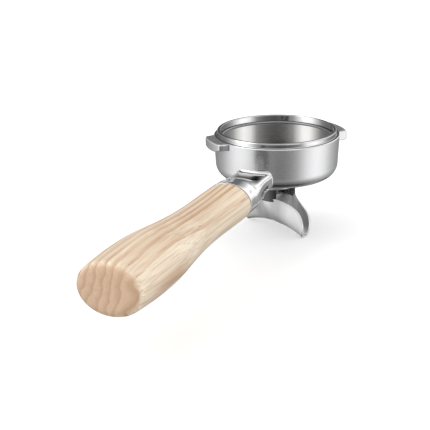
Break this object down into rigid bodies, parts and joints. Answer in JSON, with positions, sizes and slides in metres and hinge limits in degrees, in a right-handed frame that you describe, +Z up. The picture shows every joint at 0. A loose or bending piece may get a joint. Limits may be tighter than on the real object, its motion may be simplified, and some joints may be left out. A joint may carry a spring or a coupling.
{
  "type": "espresso portafilter",
  "caption": "Filter holder for an espresso machine: cup with locking ears, wooden handle and an open two-way spout that turns.",
  "frame": {"origin": "on the cup's axis, in the plane of the rim's top face, where the holder seats against a machine's group gasket", "axes": "+Z up along the cup's axis, the handle points along -Y, +X to the right seen from the handle's end"},
  "size_m": [0.07, 0.2283, 0.0587],
  "materials": {
    "body_steel": "satin cup, polished rim, neck and collar",
    "spring_steel": "drawn wire",
    "nipple_metal": "plated",
    "seal": "matt",
    "spout_metal": "satin",
    "joint_fibre": "matt dark brown",
    "stud_steel": "turned",
    "insert_brass": "turned",
    "ash_wood": "satin lacquer"
  },
  "bodies": {
    "holder": {"filter_holder": "body_steel", "basket_spring": "spring_steel", "outlet_nipple": "nipple_metal", "spout_washer": "seal", "joint_washer": "joint_fibre", "handle_stud": "stud_steel", "threaded_insert": "insert_brass", "wood_handle": "ash_wood"},
    "spout": {"double_spout": "spout_metal"}
  },
  "joints": [
    {"name": "spout_swivel", "type": "hinge", "parent": "holder", "child": "spout", "pos_m": [0, 0, -0.031], "axis": [0, 0, 1], "range_deg": [-180, 180]}
  ]
}
